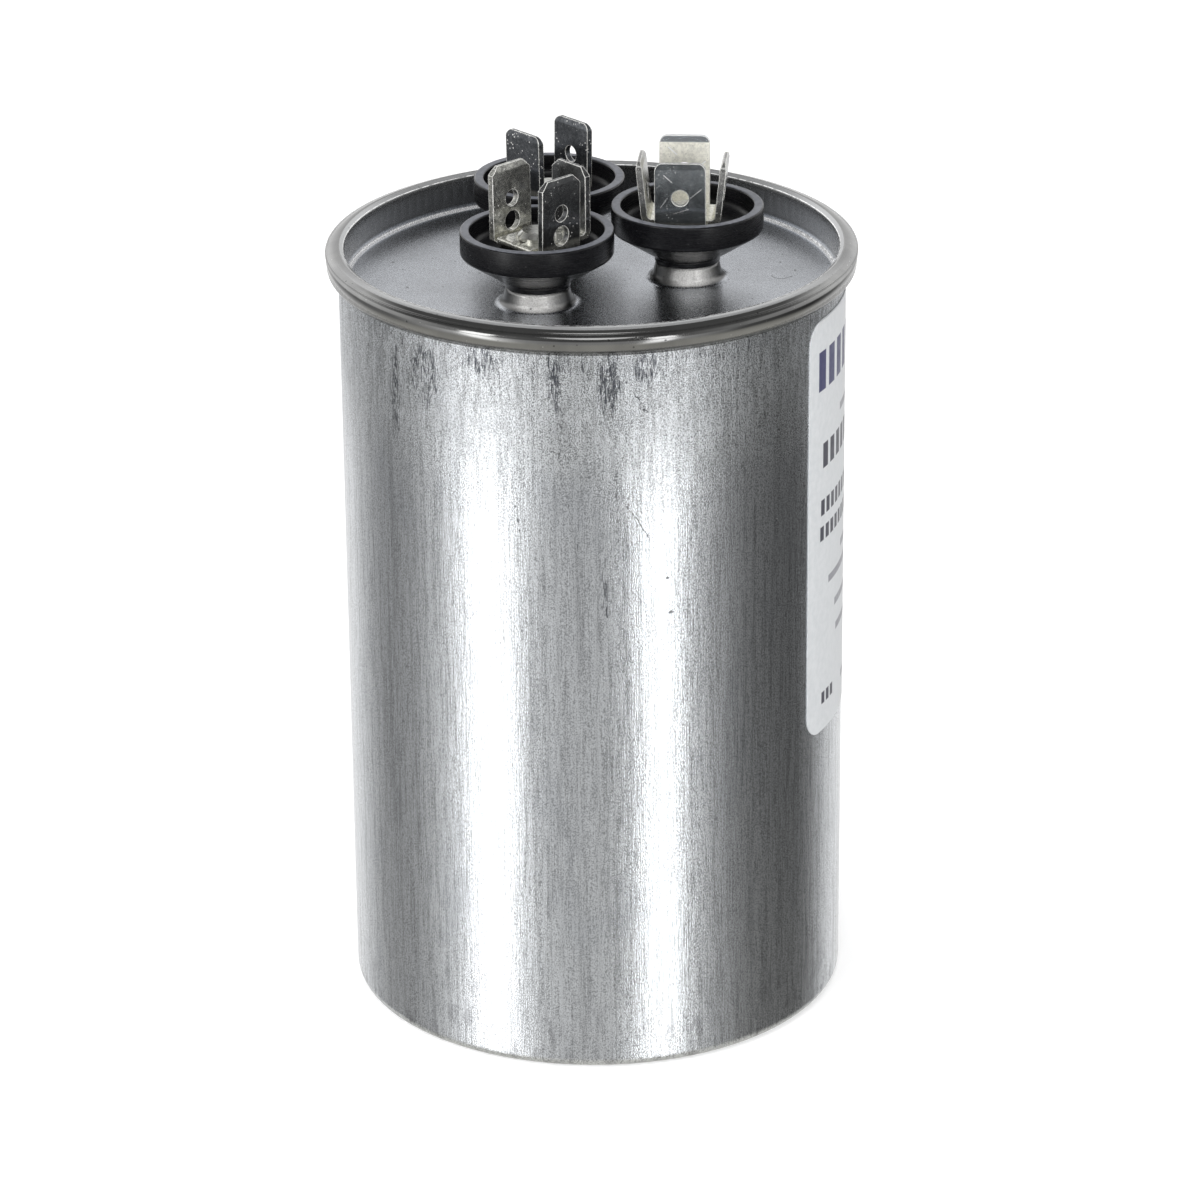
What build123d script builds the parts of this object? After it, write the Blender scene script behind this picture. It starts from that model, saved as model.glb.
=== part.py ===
# Dual run capacitor: a drawn can closed by a double-seamed cover that carries three blade terminals.
# Millimetres. The origin is the middle of the can's flat bottom, Z is up, +X points at the common terminal.
from build123d import *
from dataclasses import dataclass
from math import cos, degrees, radians, sin, sqrt, tan

import os

os.makedirs("parts", exist_ok=True)

# Can
can_diameter = 63.5
can_height = 100.1
can_wall = 0.42
can_floor = 0.6
can_corner = 1.35

# Cover and double seam
cover_sheet = 0.40
panel_depth = 4.68
panel_bend = 0.5
seam_length = 3.55
seam_overhang = 1.60
seam_fall = 0.5
seam_inner_bend = 0.3
seam_outer_bend = 0.3
seam_crease_bend = 0.12
seam_crease_inset = 0.52
seam_crease_rise = 0.3
seam_tuck = 0.46
sheet_gap = 0.03
can_hook_length = 1.9
hook_tip_gap = 0.35
compound_gap = 0.06

# Collars in the cover
terminal_radius = 12.0
collar_height = 2.38
collar_top_diameter = 7.9
collar_foot_diameter = 9.1
collar_flare = 1.4
collar_hole_diameter = 5.2

# Insulator cups
cup_diameter = 19.05
cup_wall = 1.22
cup_height = 7.2
cup_ring_height = 3.05
cup_well_depth = 2.7
cup_neck_diameter = 8.2
cup_neck_height = 0.6
cup_edge = 0.25
cup_neck_fillet = 0.8
cup_cone_fillet = 0.5
cup_well_fillet = 1.0

# Blades, the 6.35 mm quick-connect size
blade_width = 6.35
blade_thickness = 0.8
blade_bend = 0.9
blade_bevel_length = 0.8
blade_bevel_depth = 0.2
blade_corner = 1.05
blade_hole_diameter = 2.1
blade_hole_drop = 4.45
second_hole_diameter = 2.5
second_hole_drop = 7.35
single_blade_tail = 3.4

# Height of each bracket's blades, then how far each blade stands from the middle of its strip
common_lower_height = 9.8
common_upper_height = 8.8
compressor_lower_height = 10.3
compressor_upper_height = 10.0
fan_height = 9.2
common_lower_reach = 5.7
common_upper_reach = 5.3
compressor_lower_reach = 4.47
compressor_upper_reach = 5.55
fan_reach = 4.07

# How far the middle of each strip sits off its rivet, along X and Y
common_lower_shift = (-0.6, 0)
common_upper_shift = (-0.55, 0)
compressor_lower_shift = (-0.25, -0.2)
compressor_upper_shift = (0, 0)
fan_shift = (0, 0.15)

# Rivets, bushings and inner tabs
rivet_diameter = 3.0
rivet_head_diameter = 4.8
rivet_head_height = 1.0
rivet_clinch_diameter = 4.4
rivet_clinch_height = 0.7
rivet_chamfer = 0.3
rivet_fit = 0.1
cup_bore_diameter = 4.2
bushing_sleeve_diameter = 4.8
bushing_socket_depth = 0.9
bushing_flange_diameter = 6.4
bushing_flange_height = 2.5
part_clearance = 0.1
tab_thickness = 0.6
tab_width = 3.6
tab_eye_diameter = 5.8

# Leads
lead_diameter = 1.7
lead_head_diameter = 3.2
lead_head_height = 1.0
lead_bend = 3.4
lead_foot_length = 4.0
common_lead_radius = 0.8

# Interrupter plate
plate_thickness = 1.5
plate_rim_wall = 1.4
plate_edge_gap = 0.73
plate_hole_gap = 0.3
plate_vent_diameter = 4.0
plate_vent_radius = 24.0
plate_vents = 6

# Windings
oil_gap = 1.4
sleeve_wall = 0.8
sleeve_gap = 0.1
core_inner_diameter = 9.0
core_wall = 1.0
barrier_wall = 0.8
barrier_rise = 1.4
section_ratio = 10.7
spray_thickness = 0.6
lead_room = 4.2

# Base insulator
base_plate = 1.2
base_edge_gap = 0.43
base_rim_wall = 0.85
base_rim_height = 4.4
base_edge_chamfer = 1.0
rib_height = 2.6
rib_width = 1.6
rib_count = 6
rib_inner_radius = 5.0

# Label
label_thickness = 0.1
label_arc_length = 76.0
label_start = -29.1
label_height = 55.8
label_top_gap = 2.0
label_corner = 3.0

# Radii of the sheets in the seam, from the inside out
can_radius = can_diameter / 2
can_inner = can_radius - can_wall
can_mid = can_radius - can_wall / 2
chuck_mid = can_inner - sheet_gap - cover_sheet / 2
cover_hook_mid = can_radius + sheet_gap + cover_sheet / 2
can_hook_mid = cover_hook_mid + cover_sheet / 2 + sheet_gap + can_wall / 2
crease_mid = chuck_mid + seam_crease_inset
seam_mid = can_radius + seam_overhang - cover_sheet / 2
curl_mid = cover_hook_mid + seam_tuck

# Levels
panel_top = can_height - panel_depth
panel_mid = panel_top - cover_sheet / 2
panel_underside = panel_top - cover_sheet
seam_top_mid = can_height - cover_sheet / 2
seam_bottom_mid = can_height - seam_length + cover_sheet / 2
can_hook_top = seam_top_mid - seam_fall - cover_sheet / 2 - sheet_gap - can_wall / 2
can_hook_end = can_hook_top + can_wall / 2 - can_hook_length
cover_hook_tip = can_hook_top - can_wall / 2 - hook_tip_gap
seat_level = panel_top + collar_height
cup_rim = seat_level + cup_height
cup_floor = cup_rim - cup_well_depth
bushing_bottom = seat_level - cover_sheet - bushing_flange_height
tab_bottom = bushing_bottom - tab_thickness
plate_top = tab_bottom - lead_head_height
plate_bottom = plate_top - plate_thickness
base_top = can_floor + base_plate
winding_seat = base_top + rib_height
film_bottom = winding_seat + spray_thickness
film_top = plate_bottom - lead_room - spray_thickness
spray_top = film_top + spray_thickness
label_bottom = can_height - seam_length - label_top_gap - label_height

# Radii of the winding
sleeve_outer = can_inner - oil_gap
sleeve_inner = sleeve_outer - sleeve_wall
winding_radius = sleeve_inner - sleeve_gap
core_inner = core_inner_diameter / 2
core_outer = core_inner + core_wall
film_area = winding_radius**2 + section_ratio * core_outer**2 - barrier_wall**2
fan_radius = (sqrt(barrier_wall**2 + (1 + section_ratio) * film_area) - barrier_wall) / (1 + section_ratio)
barrier_outer = fan_radius + barrier_wall
fan_lead_radius = (core_outer + fan_radius) / 2
compressor_lead_radius = (barrier_outer + winding_radius) / 2

# Directions of the terminals, and where their leads rise
terminal_turn = {"common": 0, "compressor": -120, "fan": 120}
lead_radius = {
    "common": common_lead_radius,
    "compressor": compressor_lead_radius,
    "fan": fan_lead_radius,
}


@dataclass
class Bracket:
    """A bent strip with one or two blades, riveted into a cup."""

    terminal: str
    level: int
    turn: float
    lean: float
    reach: float
    shift: tuple
    blade_height: float
    blades: int = 2
    clipped: bool = False


brackets = {
    "common_lower_blades": Bracket(
        "common", 0, 90, 2.0, common_lower_reach, common_lower_shift, common_lower_height
    ),
    "common_upper_blades": Bracket(
        "common", 1, -1.5, 6.0, common_upper_reach, common_upper_shift, common_upper_height
    ),
    "compressor_lower_blades": Bracket(
        "compressor",
        0,
        138,
        1.0,
        compressor_lower_reach,
        compressor_lower_shift,
        compressor_lower_height,
        clipped=True,
    ),
    "compressor_upper_blade": Bracket(
        "compressor",
        1,
        44,
        0,
        compressor_upper_reach,
        compressor_upper_shift,
        compressor_upper_height,
        blades=1,
        clipped=True,
    ),
    "fan_blades": Bracket("fan", 0, 45, 1.0, fan_reach, fan_shift, fan_height),
}


def around(radius, turn):
    """Point on a circle round the can's axis."""
    return radius * cos(radians(turn)), radius * sin(radians(turn))


def upright(centre, turn=0):
    """Vertical plane through a point, with x running outward along turn and y up."""
    c, s = cos(radians(turn)), sin(radians(turn))
    return Plane(origin=(*centre, 0), x_dir=(c, s, 0), z_dir=(s, -c, 0))


def facing(centre, turn=0):
    """Vertical plane through a point that faces along turn, with y up."""
    c, s = cos(radians(turn)), sin(radians(turn))
    return Plane(origin=(*centre, 0), x_dir=(-s, c, 0), z_dir=(c, s, 0))


def upright_axis(centre):
    """Vertical axis through a point."""
    return Axis((*centre, 0), (0, 0, 1))


def save(builder, name):
    """Label a finished piece and write it to its file."""
    builder.part.label = name
    export_step(builder.part, f"parts/{name}.step")


terminal_centre = {name: around(terminal_radius, turn) for name, turn in terminal_turn.items()}
lead_centre = {name: around(lead_radius[name], turn) for name, turn in terminal_turn.items()}

# Can: a thicker floor with its corner, then the wall, which ends in a flange hooked over the cover's hook
with BuildPart() as can:
    wall_start = can_corner * 2
    with BuildSketch(Plane.XZ):
        with BuildLine():
            FilletPolyline(
                (0, 0),
                (can_radius, 0),
                (can_radius, wall_start + can_corner),
                (can_inner, wall_start + can_corner),
                (can_inner, can_floor),
                (0, can_floor),
                radius=(0, can_corner, 0, 0, can_corner - can_wall, 0),
                close=True,
            )
        make_face()
    revolve(axis=Axis.Z)
    with BuildSketch(Plane.XZ):
        with BuildLine():
            FilletPolyline(
                (can_mid, wall_start),
                (can_mid, can_hook_top),
                (can_hook_mid, can_hook_top),
                (can_hook_mid, can_hook_end + can_wall / 2),
                radius=(can_hook_mid - can_mid) / 2 - sheet_gap / 2,
            )
            offset(amount=can_wall / 2, side=Side.BOTH)
        make_face()
    revolve(axis=Axis.Z)
save(can, "can")

# Cover: panel, chuck wall, seam and hook are one sheet, and each collar is drawn up from the panel
with BuildPart() as cover:
    with BuildSketch(Plane.XZ):
        with BuildLine():
            FilletPolyline(
                (0, panel_mid),
                (chuck_mid, panel_mid),
                (chuck_mid, seam_top_mid - seam_crease_rise),
                (crease_mid, seam_top_mid),
                (seam_mid, seam_top_mid - seam_fall),
                (seam_mid - cover_sheet / 2, can_hook_end),
                (curl_mid, seam_bottom_mid),
                (cover_hook_mid, seam_bottom_mid),
                (cover_hook_mid, cover_hook_tip - cover_sheet / 2),
                radius=(
                    panel_bend,
                    seam_inner_bend,
                    seam_crease_bend,
                    seam_outer_bend,
                    cover_sheet,
                    (curl_mid - cover_hook_mid) / 2,
                    (curl_mid - cover_hook_mid) / 2,
                ),
            )
            offset(amount=cover_sheet / 2, side=Side.BOTH)
        make_face()
        with Locations((0, panel_mid)):
            Rectangle(cover_sheet, cover_sheet * 2, align=(Align.MAX, Align.CENTER), mode=Mode.SUBTRACT)
    revolve(axis=Axis.Z)
    for centre in terminal_centre.values():
        collar_edge = collar_foot_diameter / 2 + collar_flare
        with Locations((*centre, panel_mid)):
            Cylinder(collar_edge, cover_sheet * 2, mode=Mode.SUBTRACT)
        with BuildSketch(upright(centre)):
            with BuildLine():
                FilletPolyline(
                    (collar_edge + cover_sheet / 2, panel_mid),
                    ((collar_foot_diameter - cover_sheet) / 2, panel_mid),
                    ((collar_top_diameter - cover_sheet) / 2, seat_level - cover_sheet / 2),
                    ((collar_hole_diameter + cover_sheet) / 2, seat_level - cover_sheet / 2),
                    radius=(collar_flare, cover_sheet),
                )
                offset(amount=cover_sheet / 2, side=Side.BOTH)
            make_face()
        revolve(axis=upright_axis(centre))
save(cover, "cover")

# Sealing compound between the cover's hook and the can's hook
with BuildPart() as seam_compound:
    with BuildSketch(Plane.XZ):
        with Locations((cover_hook_mid, cover_hook_tip + compound_gap)):
            Rectangle(
                cover_sheet - compound_gap * 2,
                hook_tip_gap - compound_gap * 2,
                align=(Align.CENTER, Align.MIN),
            )
    revolve(axis=Axis.Z)
save(seam_compound, "seam_compound")

# Insulator cups, which stand on the collars
cup_bends = (0, 0, cup_neck_fillet, cup_cone_fillet, cup_edge, cup_edge, cup_well_fillet, 0, 0, 0)
for name, centre in terminal_centre.items():
    with BuildPart() as cup:
        with BuildSketch(upright(centre)):
            with BuildLine():
                FilletPolyline(
                    (bushing_sleeve_diameter / 2 + part_clearance, seat_level),
                    (cup_neck_diameter / 2, seat_level),
                    (cup_neck_diameter / 2, seat_level + cup_neck_height),
                    (cup_diameter / 2, cup_rim - cup_ring_height),
                    (cup_diameter / 2, cup_rim),
                    (cup_diameter / 2 - cup_wall, cup_rim),
                    (cup_diameter / 2 - cup_wall, cup_floor),
                    (cup_bore_diameter / 2, cup_floor),
                    (cup_bore_diameter / 2, seat_level + bushing_socket_depth),
                    (bushing_sleeve_diameter / 2 + part_clearance, seat_level + bushing_socket_depth),
                    radius=cup_bends,
                    close=True,
                )
            make_face()
        revolve(axis=upright_axis(centre))
    save(cup, f"{name}_cup")

# Blade brackets: a bent strip, trimmed to the blades' outline, then pierced
for name, bracket in brackets.items():
    rivet_centre = terminal_centre[bracket.terminal]
    centre = (rivet_centre[0] + bracket.shift[0], rivet_centre[1] + bracket.shift[1])
    strip_mid = cup_floor + blade_thickness * (bracket.level + 0.5)
    tip = cup_floor + bracket.blade_height
    bend_reach = bracket.reach - (tip - strip_mid) * tan(radians(bracket.lean))
    sides = (1, -1) if bracket.blades == 2 else (1,)
    past_tip = blade_thickness
    blade_end = (bracket.reach + past_tip * tan(radians(bracket.lean)), tip + past_tip)
    if bracket.blades == 2:
        far_end = [(-bend_reach, strip_mid), (-blade_end[0], blade_end[1])]
    else:
        far_end = [(-single_blade_tail, strip_mid)]
    with BuildPart() as blades:
        with BuildSketch(upright(centre, bracket.turn)):
            with BuildLine():
                FilletPolyline(blade_end, (bend_reach, strip_mid), *far_end, radius=blade_bend)
                offset(amount=blade_thickness / 2, side=Side.BOTH)
            make_face()
            for side in sides:
                with Locations(Location((side * bracket.reach, tip, 0), (0, 0, -side * bracket.lean))):
                    for face in (1, -1):
                        Polygon(
                            (face * blade_thickness / 2, -blade_bevel_length),
                            (face * blade_thickness, -blade_bevel_length),
                            (face * blade_thickness, blade_thickness),
                            (face * (blade_thickness / 2 - blade_bevel_depth), blade_thickness),
                            (face * (blade_thickness / 2 - blade_bevel_depth), 0),
                            align=None,
                            mode=Mode.SUBTRACT,
                        )
        extrude(amount=blade_width / 2, both=True)
        with BuildSketch(facing(centre, bracket.turn)) as outline:
            with Locations((0, tip)):
                Rectangle(blade_width, bracket.blade_height, align=(Align.CENTER, Align.MAX))
            top_corners = outline.vertices().group_by(Axis.Z)[-1]
            if bracket.clipped:
                chamfer(top_corners, length=blade_corner)
            else:
                fillet(top_corners, radius=blade_corner)
            with Locations((0, tip - blade_hole_drop)):
                Circle(blade_hole_diameter / 2, mode=Mode.SUBTRACT)
            if bracket.clipped:
                with Locations((0, tip - second_hole_drop)):
                    Circle(second_hole_diameter / 2, mode=Mode.SUBTRACT)
        extrude(amount=cup_diameter / 2, both=True, mode=Mode.INTERSECT)
        with Locations((*rivet_centre, strip_mid)):
            Cylinder(rivet_diameter / 2 + rivet_fit, blade_thickness * 2, mode=Mode.SUBTRACT)
    save(blades, name)

# Rivets, bushings and inner tabs
for name, centre in terminal_centre.items():
    strips = sum(bracket.terminal == name for bracket in brackets.values())
    head_seat = cup_floor + blade_thickness * strips
    with BuildPart() as rivet:
        with BuildSketch(upright(centre)):
            with BuildLine():
                Polyline(
                    (0, head_seat + rivet_head_height),
                    (rivet_head_diameter / 2 - rivet_chamfer * 2, head_seat + rivet_head_height),
                    (rivet_head_diameter / 2, head_seat + rivet_head_height - rivet_chamfer * 2),
                    (rivet_head_diameter / 2, head_seat),
                    (rivet_diameter / 2, head_seat),
                    (rivet_diameter / 2, tab_bottom),
                    (rivet_clinch_diameter / 2, tab_bottom),
                    (rivet_clinch_diameter / 2 - rivet_chamfer, tab_bottom - rivet_clinch_height),
                    (0, tab_bottom - rivet_clinch_height),
                    close=True,
                )
            make_face()
        revolve(axis=upright_axis(centre))
    save(rivet, f"{name}_rivet")

    with BuildPart() as bushing:
        with BuildSketch(upright(centre)):
            with BuildLine():
                Polyline(
                    (rivet_diameter / 2 + rivet_fit, bushing_bottom),
                    (bushing_flange_diameter / 2, bushing_bottom),
                    (bushing_flange_diameter / 2, bushing_bottom + bushing_flange_height),
                    (bushing_sleeve_diameter / 2, bushing_bottom + bushing_flange_height),
                    (bushing_sleeve_diameter / 2, seat_level + bushing_socket_depth - part_clearance),
                    (rivet_diameter / 2 + rivet_fit, seat_level + bushing_socket_depth - part_clearance),
                    close=True,
                )
            make_face()
        revolve(axis=upright_axis(centre))
    save(bushing, f"{name}_bushing")

    reach = lead_radius[name] - terminal_radius
    inward = 1 if reach > 0 else -1
    with BuildPart() as tab:
        with BuildSketch(Plane(origin=(*centre, tab_bottom), x_dir=(*around(1, terminal_turn[name]), 0))):
            Circle(tab_eye_diameter / 2)
            SlotCenterPoint((reach / 2, 0), (reach + inward * tab_width / 4, 0), tab_width)
            Circle(rivet_diameter / 2 + rivet_fit, mode=Mode.SUBTRACT)
        extrude(amount=tab_thickness)
    save(tab, f"{name}_tab")

# Interrupter plate, which hangs under the cover on its rim and keeps the leads' heads back
with BuildPart() as interrupter_plate:
    plate_radius = can_inner - plate_edge_gap
    with BuildSketch(Plane.XY.offset(plate_bottom)):
        Circle(plate_radius)
        for centre in lead_centre.values():
            with Locations(centre):
                Circle(lead_diameter / 2 + plate_hole_gap, mode=Mode.SUBTRACT)
        with PolarLocations(plate_vent_radius, plate_vents, start_angle=180 / plate_vents):
            Circle(plate_vent_diameter / 2, mode=Mode.SUBTRACT)
    extrude(amount=plate_thickness)
    with BuildSketch(Plane.XY.offset(plate_top)):
        Circle(plate_radius)
        Circle(plate_radius - plate_rim_wall, mode=Mode.SUBTRACT)
    extrude(amount=panel_underside - plate_top)
save(interrupter_plate, "interrupter_plate")

# Leads: the round wire rises to a head on the interrupter plate, under its tab
for name, turn in terminal_turn.items():
    if name == "common":
        foot_level = winding_seat - lead_diameter / 2
    else:
        foot_level = spray_top + lead_diameter / 2
    rise = lead_radius[name]
    with BuildPart() as lead:
        with BuildLine(upright((0, 0), turn)) as route:
            if name == "fan":
                Line((rise, spray_top), (rise, plate_top))
            else:
                foot_end = rise + lead_foot_length + lead_bend
                foot_start = (foot_end, foot_level)
                FilletPolyline(foot_start, (rise, foot_level), (rise, plate_top), radius=lead_bend)
        with BuildSketch(Plane(origin=route.line @ 0, z_dir=route.line % 0)):
            Circle(lead_diameter / 2)
        sweep()
        with Locations((*lead_centre[name], plate_top)):
            Cylinder(
                lead_head_diameter / 2, lead_head_height, align=(Align.CENTER, Align.CENTER, Align.MIN)
            )
    save(lead, f"{name}_lead")

# Tubes of the winding: inner radius, outer radius, bottom, top
tubes = {
    "core_tube": (core_inner, core_outer, winding_seat, spray_top + barrier_rise),
    "fan_winding": (core_outer, fan_radius, film_bottom, film_top),
    "section_barrier": (fan_radius, barrier_outer, film_bottom, spray_top + barrier_rise),
    "compressor_winding": (barrier_outer, winding_radius, film_bottom, film_top),
    "common_spray": (core_outer, winding_radius, winding_seat, film_bottom),
    "fan_spray": (core_outer, fan_radius, film_top, spray_top),
    "compressor_spray": (barrier_outer, winding_radius, film_top, spray_top),
    "winding_sleeve": (sleeve_inner, sleeve_outer, base_top, plate_bottom),
}
for name, (inner, outer, bottom, top) in tubes.items():
    with BuildPart() as tube:
        with BuildSketch(Plane.XY.offset(bottom)):
            Circle(outer)
            Circle(inner, mode=Mode.SUBTRACT)
        extrude(amount=top - bottom)
    save(tube, name)

# Base insulator: a dish round the sleeve, with ribs that carry the winding
with BuildPart() as base_insulator:
    base_radius = can_inner - base_edge_gap
    with BuildSketch(Plane.XY.offset(can_floor)):
        Circle(base_radius)
    extrude(amount=base_plate)
    with BuildSketch(Plane.XY.offset(base_top)):
        Circle(base_radius)
        Circle(base_radius - base_rim_wall, mode=Mode.SUBTRACT)
    extrude(amount=base_rim_height - base_plate)
    chamfer(base_insulator.edges().group_by(Axis.Z)[0], length=base_edge_chamfer)
    rib_length = sleeve_inner - sleeve_gap - rib_inner_radius
    with BuildSketch(Plane.XY.offset(base_top)):
        with PolarLocations(rib_inner_radius + rib_length / 2, rib_count, start_angle=180 / rib_count):
            Rectangle(rib_length, rib_width)
    extrude(amount=rib_height)
save(base_insulator, "base_insulator")

# Label, wrapped on the can, with its corners rounded
with BuildPart() as label:
    label_turn = degrees(label_arc_length / can_radius)
    with BuildSketch(upright((0, 0), label_start)):
        with Locations((can_radius, label_bottom)):
            Rectangle(label_thickness, label_height, align=(Align.MIN, Align.MIN))
    revolve(axis=Axis.Z, revolution_arc=label_turn)
    for side, turn in ((1, label_start), (-1, label_start + label_turn)):
        edge_plane = Plane(
            origin=(*around(can_radius, turn), label_bottom),
            x_dir=(*around(side, turn + 90), 0),
            z_dir=(*around(side, turn), 0),
        )
        with BuildSketch(edge_plane):
            Rectangle(label_corner, label_height, align=(Align.MIN, Align.MIN))
            with Locations((label_corner, label_corner), (label_corner, label_height - label_corner)):
                Circle(label_corner, mode=Mode.SUBTRACT)
            with Locations((0, label_height / 2)):
                Rectangle(label_corner * 3, label_height - label_corner * 2, mode=Mode.SUBTRACT)
        extrude(amount=label_corner, both=True, mode=Mode.SUBTRACT)
save(label, "label")
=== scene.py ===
"""Looks of the dual run capacitor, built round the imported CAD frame. Metres, origin under the can."""

from math import cos, radians, sin
from typing import NamedTuple

import bpy
from mathutils import Matrix, Vector

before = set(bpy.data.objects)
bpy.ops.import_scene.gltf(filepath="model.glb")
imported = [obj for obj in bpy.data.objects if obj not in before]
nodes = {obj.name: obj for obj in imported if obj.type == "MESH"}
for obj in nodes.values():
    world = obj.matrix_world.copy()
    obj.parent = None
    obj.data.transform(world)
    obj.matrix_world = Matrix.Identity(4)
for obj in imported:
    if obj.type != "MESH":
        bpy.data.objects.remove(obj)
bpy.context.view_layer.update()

MM = 0.001

# Camera of the photograph: place in metres, turns in degrees
CAMERA_PLACE = (0.04319, -0.6176, 0.3133)
CAMERA_TURN = 3.94
CAMERA_PITCH = 22.95
CAMERA_ROLL = -0.52
CAMERA_LENS_MM = 156.75
CAMERA_CLIP_START = 0.01
SENSOR_MM = 36.0

# Direction from the object to the camera, from which the studio's walls and the can's marks are placed
FRONT_TURN = -86.0
FRONT = Vector((cos(radians(FRONT_TURN)), sin(radians(FRONT_TURN)), 0))

# Measures of the part, in millimetres
CAN_RADIUS = 31.75
SEAM_INNER_RADIUS = 30.9
SEAM_CREASE_RADIUS = 31.62
SEAM_OUTER_RADIUS = 33.1
SEAM_BOTTOM = 96.55
SEAM_SHOULDER = 99.5
PANEL_TOP = 95.5
CUP_FLOOR = 102.3
CUP_RIM = 105.0

BLACK = (0.0, 0.0, 0.0)
WHITE = (1.0, 1.0, 1.0)

# Shares of a mark's size or width that are its solid core, and the fade at a bar's edge in millimetres
PATCH_CORE = 0.2
LINE_CORE = 0.4
BAR_FADE = 0.05

NOISE_MIDDLE = 0.5

# Rays that find a sharp edge, and how well the rounded normal agrees with the flat one on it and off it
EDGE_SAMPLES = 6
EDGE_AGREEMENT = (0.90, 0.99)


class Pattern(NamedTuple):
    """Noise on the object, with its waves per millimetre along X, Y and Z.

    Its level lies mostly between 0.3 and 0.7. The span gives two levels and, if they aren't 0 and 1,
    the values there.
    """

    waves: tuple
    span: tuple = (0.3, 0.7)
    detail: float = 3.0
    rough: float = 0.6
    shift: tuple = (0, 0, 0)
    distortion: float = 0.0


class Shader:
    """Node tree of one material or world, with short calls for the nodes it is made of."""

    def __init__(self, owner):
        owner.use_nodes = True
        self.tree = owner.node_tree
        self.tree.nodes.clear()

    def node(self, kind, inputs=(), **settings):
        """Adds a node. Inputs are pairs of socket and value, where a value may be another node's output."""
        made = self.tree.nodes.new(kind)
        for key, value in settings.items():
            setattr(made, key, value)
        for key, value in dict(inputs).items():
            if isinstance(value, bpy.types.NodeSocket):
                self.tree.links.new(value, made.inputs[key])
            else:
                made.inputs[key].default_value = value
        return made

    def math(self, operation, *values, clamp=False):
        made = self.node("ShaderNodeMath", enumerate(values), operation=operation, use_clamp=clamp)
        return made.outputs[0]

    def chain(self, operation, *values):
        total = values[0]
        for value in values[1:]:
            total = self.math(operation, total, value)
        return total

    def add(self, *values):
        return self.chain("ADD", *values)

    def times(self, *values):
        return self.chain("MULTIPLY", *values)

    def most(self, *values):
        return self.chain("MAXIMUM", *values)

    def vector(self, operation, *values, scale=None):
        made = self.node("ShaderNodeVectorMath", enumerate(values), operation=operation)
        if scale is not None:
            made.inputs["Scale"].default_value = scale
        return made.outputs["Value" if operation in ("LENGTH", "DOT_PRODUCT", "DISTANCE") else "Vector"]

    def xyz(self, vector):
        return self.node("ShaderNodeSeparateXYZ", {"Vector": vector}).outputs

    def point(self, **parts):
        """Vector put together from the parts that are named X, Y and Z."""
        return self.node("ShaderNodeCombineXYZ", parts).outputs[0]

    def place(self, scale=(1, 1, 1), shift=(0, 0, 0)):
        """Object coordinates in millimetres, scaled and shifted."""
        place = self.node("ShaderNodeTexCoord").outputs["Object"]
        inputs = {"Vector": place, "Location": shift, "Scale": [s / MM for s in scale]}
        return self.node("ShaderNodeMapping", inputs).outputs[0]

    def turned_to_front(self, vector):
        """The vector in axes whose X points to the camera and whose Y points to the camera's right."""
        inputs = {"Vector": vector, "Angle": -radians(FRONT_TURN)}
        return self.node("ShaderNodeVectorRotate", inputs, rotation_type="Z_AXIS").outputs[0]

    def around_can(self):
        """Millimetres round the can from the side that faces the camera, and up, as one vector."""
        x, y, z = self.xyz(self.turned_to_front(self.place()))
        return self.point(X=self.times(self.math("ARCTAN2", y, x), CAN_RADIUS), Y=z)

    def noise(self, pattern, output="Fac"):
        """Level of a pattern."""
        inputs = {
            "Vector": self.place(pattern.waves, pattern.shift),
            "Scale": 1.0,
            "Detail": pattern.detail,
            "Roughness": pattern.rough,
            "Distortion": pattern.distortion,
        }
        return self.node("ShaderNodeTexNoise", inputs).outputs[output]

    def read(self, pattern):
        """Level of a pattern, read over its span."""
        return self.between(self.noise(pattern), *pattern.span)

    def spots(self, density, inner, outer, shift=(0, 0, 0)):
        """1 on many scattered spots and 0 between them. Each spot fades from inner to outer."""
        inputs = {"Vector": self.place(shift=shift), "Scale": density}
        distance = self.node("ShaderNodeTexVoronoi", inputs).outputs["Distance"]
        return self.falling(distance, inner, outer)

    def between(self, value, low, high, start=0.0, end=1.0, linear=False):
        """Value from low to high, smoothed unless linear, read as start to end and held beyond them."""
        inputs = {"Value": value, "From Min": low, "From Max": high, "To Min": start, "To Max": end}
        style = "LINEAR" if linear else "SMOOTHSTEP"
        return self.node("ShaderNodeMapRange", inputs, interpolation_type=style).outputs[0]

    def falling(self, value, low, high):
        """1 up to low and 0 from high."""
        return self.between(value, low, high, 1.0, 0.0)

    def curve(self, x, factors):
        """Cubic through 0, from the factors of x, its square and its cube."""
        total = 0.0
        for factor in reversed(factors):
            total = self.times(self.add(total, factor), x)
        return total

    def patch(self, where, centre, size):
        """1 in the middle of an oval patch, fading to 0 at its edge."""
        away = self.vector("SUBTRACT", where, Vector(centre).to_3d())
        away = self.vector("DIVIDE", away, (*size, 1)[:3])
        return self.falling(self.vector("LENGTH", away), PATCH_CORE, 1.0)

    def line(self, where, start, end, width):
        """1 along a thin line from start to end."""
        run = Vector(end) - Vector(start)
        away = self.vector("SUBTRACT", where, (*start, 0))
        share = self.times(self.vector("DOT_PRODUCT", away, (*run, 0)), 1 / run.length_squared)
        share = self.math("MINIMUM", self.most(share, 0.0), 1.0)
        foot = self.point(X=self.times(share, run.x), Y=self.times(share, run.y))
        return self.falling(self.vector("DISTANCE", away, foot), width * LINE_CORE, width)

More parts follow.
